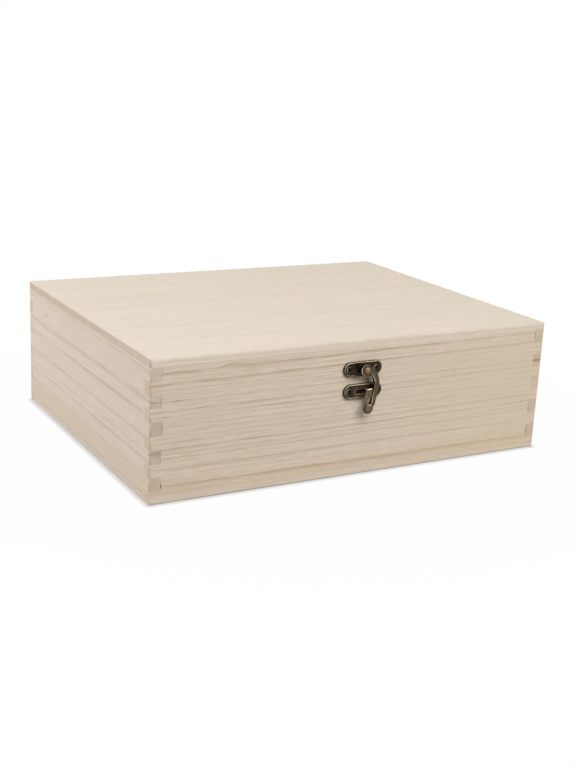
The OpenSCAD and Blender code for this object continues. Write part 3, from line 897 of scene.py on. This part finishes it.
# swing hook: eye, bent arm that tapers to its tail, and a domed knob
hook = {
    "back": 3.0,  # above the wood
    "thick": 2.85,
    "eye": 3.9,
    "eyeInset": 0.1,  # how far the arm starts inside the eye's rim
    "eyeClear": 0.02,  # how far outside it the arm's own outline begins
    "eyeSteps": 60,
    "hole": 1.35,
    "holeSteps": 36,
    "holeRub": 0.2,
    "arm": 3.7,  # width
    "tail": 3.2,  # width
    "bend": 9.7,
    "bendSteps": 32,
    "lean": 9,  # degrees
    "gap": 0.2,  # beside the tab
    "drop": 3.3,  # how far it runs straight on below the tab
    "curl": 3.2,
    "curlTurn": 31,  # degrees
    "curlSteps": 8,
    "knob": 3.65,
    "knobThick": 3.2,
    "knobOut": 3.75,  # from the end of the curl
    "knobFull": (0.8, 0.9),  # powers that fill out the dome's radius and height
    "knobSteps": (24, 44),  # from back to front, and round it
    "knobRub": (0.04, 0.4),  # at its back, and how much more at its front
    "edge": (  # inset from the outline, height above the back, wear and glint, share of it that is even all round (the rest is a painted highlight); the side walls stay dark as painted shade
        (0.3, 0.0, 0.02, 1.0), (0.06, 0.14, 0.02, 1.0), (0.0, 0.4, 0.02, 1.0), (0.0, 2.05, 0.04, 1.0),
        (0.08, 2.4, 0.2, 0.4), (0.2, 2.63, 0.85, 0.2), (0.38, 2.77, 1.0, 0.2), (0.56, 2.83, 0.6, 0.45),
        (0.84, 2.85, 0.3, 1.0),
    ),
    "glint": 190,  # the way that its painted highlight faces, degrees
    "plain": 0.3,  # wear of its face
    "tabShade": (-17.8, -8.6, 1.6, 0.25),  # painted shade beside the tab, where the arm's painted highlight is dulled: low, high, fade, glint left
    "smooth": 50,
}


# the arm's bend, straight stretch and curl, laid out from the rivet beside the closed tab
def armLayout():
    lean, bend, curl = hook["lean"], hook["bend"], hook["curl"]
    shift = (middle("catch_plate") - middle("latch_plate")) / mm
    tabRight = shift.x + tab["left"] + tab["width"]
    tabLow = shift.z + tab["low"]
    slope = sin(radians(lean)) / cos(radians(lean))
    bendEnd = -bend * (1 + sin(radians(lean)))
    halfArm = hook["arm"] / 2 / cos(radians(lean))
    bendX = tabRight + hook["gap"] + halfArm + (bendEnd - tabLow) * slope - bend * cos(radians(lean))
    bendCentre = Vector((bendX, -bend))
    straight = (bendEnd - tabLow + hook["drop"]) / cos(radians(lean))
    armEnd = bendCentre + bend * heading(-lean) + straight * heading(-lean - 90)
    curlCentre = armEnd - curl * heading(-lean)
    curlEnd = -lean - hook["curlTurn"]
    knobCentre = curlCentre + curl * heading(curlEnd) + hook["knobOut"] * heading(curlEnd - 90)
    return bendCentre, curlCentre, curlEnd, knobCentre


def hookOutline():
    bendCentre, curlCentre, curlEnd, _ = armLayout()
    lean, bend, curl = hook["lean"], hook["bend"], hook["curl"]
    halfArm, halfTail = hook["arm"] / 2, hook["tail"] / 2
    bendSteps, curlSteps, eyeSteps = hook["bendSteps"], hook["curlSteps"], hook["eyeSteps"]
    outer = []
    inner = []
    for i in range(bendSteps + 1):
        turn = 90 - (90 + lean) * i / bendSteps
        flare = (hook["eye"] - halfArm - hook["eyeInset"]) * (max(0, turn) / 90) ** 2
        outer.append(bendCentre + (bend + halfArm + flare) * heading(turn))
        inner.append(bendCentre + (bend - halfArm) * heading(turn))
    for i in range(1, curlSteps + 1):
        turn = -lean + (curlEnd + lean) * i / curlSteps
        outer.append(curlCentre + (curl + halfTail) * heading(turn))
        inner.append(curlCentre + (curl - halfTail) * heading(turn))
    clear = hook["eye"] + hook["eyeClear"]
    for side in (outer, inner):
        del side[:next(i for i, p in enumerate(side) if p.x > 0 and p.length > clear)]
    startTurn = atan2(outer[0].y, outer[0].x)
    endTurn = atan2(inner[0].y, inner[0].x) + 2 * pi
    eye = []
    for i in range(1, eyeSteps):
        turn = startTurn + (endTurn - startTurn) * i / eyeSteps
        eye.append(hook["eye"] * Vector((cos(turn), sin(turn))))
    tip = hook["knobOut"] / 2 * heading(curlEnd - 90)
    return eye + inner + [inner[-1] + tip, outer[-1] + tip] + outer[::-1]


# the outline moved inwards by an inset, with the way each point faces
def shrunk(outline, inset):
    count = len(outline)
    tightest = 0.6  # keeps sharp corners from running far in
    moved = []
    normals = []
    for i, point in enumerate(outline):
        before = (point - outline[i - 1]).normalized()
        after = (outline[(i + 1) % count] - point).normalized()
        way = (before + after).normalized()
        inward = Vector((-way.y, way.x))
        stretch = 1 / max(tightest, inward.dot(Vector((-after.y, after.x))))
        moved.append(point + inward * inset * stretch)
        normals.append(-inward)
    return moved, normals


# painted shade: beside the tab the arm's painted highlight fades towards its plain face
def shadedBesideTab(rub, y):
    low, high, fade, left = hook["tabShade"]
    share = left + (1 - left) * min(1.0, max(low - y, y - high, 0.0) / fade)
    return hook["plain"] + (rub - hook["plain"]) * share


def hookMesh():
    shape = newShape()
    outline = hookOutline()
    layers = []
    for inset, height, rub, even in hook["edge"]:
        points, normals = shrunk(outline, inset)
        wearAndGlints = glintByFacing(normals, hook["glint"], rub, even)
        wearAndGlints = [shadedBesideTab(value, point.y) for value, point in zip(wearAndGlints, points)]
        layers.append(([(p.x, p.y, hook["back"] + height) for p in points], wearAndGlints))
    rings = addRings(shape, layers)
    face = hook["back"] + hook["thick"]
    hole = ((hook["hole"], face, hook["holeRub"]), (hook["hole"], hook["back"], 0.0))
    holeTop, holeFoot = turnedRings(shape, hole, hook["holeSteps"])
    addFlat(shape, [rings[-1], holeTop])
    addFlat(shape, [rings[0], holeFoot])
    addTurned(shape, knobDome(), hook["knobSteps"][1], armLayout()[3])
    return drawnMesh(shape, "latch-hook", onFront("latch_plate"), bronzeFinish, hook["smooth"])


def knobDome():
    radiusPower, heightPower = hook["knobFull"]
    backRub, moreRub = hook["knobRub"]
    steps = hook["knobSteps"][0]
    mid = hook["back"] + hook["thick"] / 2
    dome = []
    for i in range(steps + 1):
        turn = radians(-90 + 180 * i / steps)
        radius = hook["knob"] * max(0, cos(turn)) ** radiusPower
        height = hook["knobThick"] / 2 * abs(sin(turn)) ** heightPower
        height = mid + height if turn > 0 else mid - height
        dome.append((radius if 0 < i < steps else 0, height, backRub + moreRub * max(0, sin(turn))))
    return dome


addPiece(hookMesh(), "hook", ["latch_hook"])


# rivet that the hook turns on
rivet = {
    "profile": (  # radius, height, wear and glint; lightest on the crown, partly wear and partly painted highlight
        (0, 2.6, 0.0), (1.3, 2.6, 0.0), (1.3, 5.86, 0.0), (2.5, 5.9, 0.06), (2.6, 6.02, 0.1),
        (2.58, 6.25, 0.18), (2.42, 6.7, 0.28), (2.0, 7.12, 0.4), (1.3, 7.38, 0.47), (0.6, 7.48, 0.5),
        (0, 7.5, 0.52),
    ),
    "steps": 44,
    "smooth": 60,
}
shape = newShape()
addTurned(shape, rivet["profile"], rivet["steps"])
mesh = drawnMesh(shape, "latch-rivet", onFront("latch_plate"), brassFinish, rivet["smooth"])
addPiece(mesh, "lid", ["latch_rivet"])
print("hook and rivet made")


# countersunk cross-head screws, one drawn for each head size and repeated by nodes
screw = {
    "length": 6.5,
    "tip": 1.6,
    "core": 0.9,
    "coneTop": 0.12,  # depth below the face where its cone begins
    "rim": (  # inset from the head's radius, height, wear and glint
        (0.0, -0.14, 0.05), (0.04, -0.05, 0.7), (0.16, 0.0, 1.0), (0.4, 0.0, 0.35),
    ),
    "steps": 32,
    "cross": (0.64, 0.2),  # half length and half width of its slots, as shares of the head's radius
    "crossDeep": 0.7,
    "crossFoot": 0.82,  # size of the slots at their bottom
    "crossRub": 0.08,
    "plateHead": 2.1,
    "leafHead": 1.8,
    "spread": 50.0,  # degrees that the crosses may be turned apart
    "glint": 150,  # the way that the painted highlight on the rim faces, degrees
    "even": 0.3,  # share of the wear and glint that is even all round
}


def screwTemplate(name, head):
    shape = newShape()
    steps = screw["steps"]
    core = screw["core"]
    profile = [
        (0, -screw["length"], 0.0), (core, screw["tip"] - screw["length"], 0.0),
        (core, core - head - screw["coneTop"], 0.0),
    ]
    normals = [heading(360 * i / steps) for i in range(steps)]
    for inset, height, rub in screw["rim"]:
        profile.append((head - inset, height, glintByFacing(normals, screw["glint"], rub, screw["even"])))
    rings = turnedRings(shape, profile, steps)
    arm, half = (share * head for share in screw["cross"])
    quarter = [(arm, -half), (arm, half), (half, half)]
    cross = []
    for c, s in ((1, 0), (0, 1), (-1, 0), (0, -1)):
        cross += [(x * c - y * s, x * s + y * c) for x, y in quarter]
    foot = screw["crossFoot"]
    lower, upper = addRings(shape, (
        ([(x * foot, y * foot, -screw["crossDeep"]) for x, y in cross], 0.0),
        ([(x, y, 0.0) for x, y in cross], screw["crossRub"]),
    ))
    shape.faces.new(lower)
    addFlat(shape, [rings[-1], upper])
    return bpy.data.objects.new(name, drawnMesh(shape, name, Matrix(), bronzeFinish))


def screwTree():
    tree = bpy.data.node_groups.new("screwRow", "GeometryNodeTree")
    inputs = (
        ("Places", "Geometry"), ("Screw", "Object"), ("Facing", "Vector"), ("Spread", "Float"),
        ("Seed", "Int"), ("Finish", "Material"),
    )
    for name, kind in inputs:
        tree.interface.new_socket(name, in_out="INPUT", socket_type="NodeSocket" + kind)
    tree.interface.new_socket("Screws", in_out="OUTPUT", socket_type="NodeSocketGeometry")
    start = Wire(tree)
    sockets = tree.nodes.new("NodeGroupInput").outputs
    given = {name: Wire(tree, sockets[name]) for name, kind in inputs}
    one = start.node("GeometryNodeObjectInfo", {}, {"Object": given["Screw"]}, "Geometry")
    placed = {"Points": given["Places"], "Instance": one, "Rotation": given["Facing"]}
    row = start.node("GeometryNodeInstanceOnPoints", {}, placed)
    highest, value = 3, 1  # sockets for a single number
    drawn = {highest: given["Spread"], "Seed": given["Seed"]}
    chance = start.node("FunctionNodeRandomValue", {"data_type": "FLOAT"}, drawn, value)
    twist = start.node("ShaderNodeCombineXYZ", {}, {"Z": chance})
    row = start.node("GeometryNodeRotateInstances", {}, {"Instances": row, "Rotation": twist})
    row = start.node("GeometryNodeRealizeInstances", {}, {"Geometry": row})
    row = start.node("GeometryNodeSetMaterial", {}, {"Geometry": row, "Material": given["Finish"]})
    start.fill(tree.nodes.new("NodeGroupOutput"), {"Screws": row})
    return tree


# two screws side by side on a plate or leaf
def screwPlaces(node, apart, face):
    at = middle(node)
    return [(at.x + side * apart * mm, face, at.z) for side in (-1, 1)]


leaf = {"thick": 0.9, "screws": 8.4}  # of the hinges
screwRows = []
for part, node, seed in (("lid", "latch_plate", 4), ("base", "catch_plate", 9)):
    screwRows.append({
        "name": node.replace("_", "-") + "-screws", "nodes": [node + "_screws"], "body": part,
        "head": "plateHead", "facing": facingFront, "seed": seed,
        "places": screwPlaces(node, plate["screws"], frontFace - plate["floor"] * mm),
    })
for part, seed in (("lid", 14), ("base", 21)):
    nodes = ["hinge_%s_%s_screws" % (side, part) for side in ("left", "right")]
    places = []
    for node in nodes:
        places += screwPlaces(node, leaf["screws"], backFace + leaf["thick"] * mm)
    screwRows.append({
        "name": "hinge-%s-screws" % part, "nodes": nodes, "body": part,
        "head": "leafHead", "facing": facingBack, "seed": seed, "places": places,
    })


def makeScrews(tree, row, template):
    spots = bpy.data.meshes.new(row["name"] + "-places")
    spots.from_pydata(row["places"], [], [])
    holder = addObject(row["name"] + "-holder", spots)
    repeat = holder.modifiers.new("screws", "NODES")
    repeat.node_group = tree
    values = {
        "Screw": template, "Facing": tuple(row["facing"]), "Spread": radians(screw["spread"]),
        "Seed": row["seed"], "Finish": bronzeFinish,
    }
    for item in tree.interface.items_tree:
        if item.in_out == "INPUT" and item.name in values:
            repeat[item.identifier] = values[item.name]
    holder.update_tag()
    graph = bpy.context.evaluated_depsgraph_get()
    mesh = bpy.data.meshes.new_from_object(holder.evaluated_get(graph))
    mesh.name = row["name"]
    holder.modifiers.remove(repeat)
    bpy.data.objects.remove(holder)
    addPiece(mesh, row["body"], row["nodes"])


templates = {head: screwTemplate(head, screw[head]) for head in ("plateHead", "leafHead")}
tree = screwTree()
for row in screwRows:
    makeScrews(tree, row, templates[row["head"]])
for template in templates.values():
    bpy.data.objects.remove(template)
print("screw rows made:", len(screwRows))


# butt hinges on the back
hinges = {  # width of the eased edges, rub of the faces and of the edges
    "leafEdge": 0.12,
    "leafRubs": (0.1, 0.28),
    "pinEdge": 0.15,
    "pinRubs": (0.2, 0.5),
}
for side in ("left", "right"):
    for part in ("lid", "base"):
        node = "hinge_%s_%s_leaf" % (side, part)
        dressCopy(node, part, bronzeFinish, hinges["leafEdge"], hinges["leafRubs"])
    node = "hinge_%s_pin" % side
    dressCopy(node, "base", bronzeFinish, hinges["pinEdge"], hinges["pinRubs"])
print("hinges dressed")


# plain pale floor and soft studio light
studio = {
    "floorSize": 6.0,
    "floorDrop": 0.1,  # mm under the box
    "floor": {"Base Color": (0.4, 0.4, 0.4, 1), "Roughness": 0.9, "Specular IOR Level": 0.1},
    "floorGlow": 0.975,  # share of plain white that the camera sees close to the box
    "shadowReach": (0.17, 0.36),  # metres from the middle over which the floor turns plain white
    "footGlow": 0.6,  # what is left of that white right at the foot: a narrow darker band there, partly the real shadow and partly painted contact shade
    "footReach": (0.0, 0.004),  # metres from the foot over which it comes back
    "sky": 0.1,
    "lamps": (  # name, place, size, power
        ("keyLamp", (2.1, -2.75, 2.1), 2.1, 80.0),
        ("topLamp", (0.05, -1.3, 2.15), 1.2, 28.8),
        ("leftLamp", (-1.6, 0.1, 0.6), 0.9, 13.1),
        ("backLamp", (-0.9, 2.0, 0.5), 0.9, 16.0),
    ),
    "aim": (0, 0, 0.05),
}


def seenRays(start):
    kinds = ("Is Camera Ray", "Is Glossy Ray", "Is Transmission Ray")
    return sum(start.node("ShaderNodeLightPath", {}, {}, kind) for kind in kinds).atMost(1.0)


def makeFloor():
    half = studio["floorSize"] / 2
    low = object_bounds()[0].z - studio["floorDrop"] * mm
    corners = [(-half, -half, low), (half, -half, low), (half, half, low), (-half, half, low)]
    mesh = bpy.data.meshes.new("floor")
    mesh.from_pydata(corners, [], [(0, 1, 2, 3)])
    floor = addObject("floor", mesh)
    finish, shader, start = newFinish("paleFloor")
    start.fill(shader, studio["floor"])
    glow = start.node("ShaderNodeEmission", {}, {"Color": (1, 1, 1, 1), "Strength": 1.0})
    lit = Wire(finish.node_tree, shader.outputs[0])
    spot = start.node("ShaderNodeTexCoord", {}, {}, "Object")
    away = start.node("ShaderNodeVectorMath", {"operation": "LENGTH"}, {0: spot}, "Value")
    share = studio["floorGlow"] + (1 - studio["floorGlow"]) * away.rise(*studio["shadowReach"])
    # painted contact shade: close to the foot the camera sees more of the dim lit floor, whose real shadow
    # shows with it
    reach = (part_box("lid_top_panel")[1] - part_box("lid_top_panel")[0]) / 2
    sideX, sideY = (abs(part) for part in spot.parts()[:2])
    gap = (sideX - reach.x).atLeast(0.0) + (sideY - reach.y).atLeast(0.0)
    foot = gap.rise(*studio["footReach"])
    share = share * (studio["footGlow"] + (1 - studio["footGlow"]) * foot)
    both = start.node("ShaderNodeMixShader", {}, {0: seenRays(start) * share, 1: lit, 2: glow})
    start.fill(finish.node_tree.nodes["Material Output"], {"Surface": both})
    mesh.materials.append(finish)


def makeSky():
    world = bpy.data.worlds.new("studioSky")
    world.use_nodes = True
    bpy.context.scene.world = world
    start = Wire(world.node_tree)
    seen = seenRays(start)
    strength = seen + (1 - seen) * studio["sky"]
    start.fill(world.node_tree.nodes["Background"], {"Color": (1, 1, 1, 1), "Strength": strength})


def makeLamps():
    for name, place, size, power in studio["lamps"]:
        light = bpy.data.lights.new(name, "AREA")
        light.shape = "DISK"
        light.size = size
        light.energy = power
        lamp = addObject(name, light)
        aim = Vector(studio["aim"]) - Vector(place)
        lamp.matrix_world = Matrix.Translation(place) @ aim.to_track_quat("-Z", "Y").to_matrix().to_4x4()


makeFloor()
makeSky()
makeLamps()
print("stage and lights made")
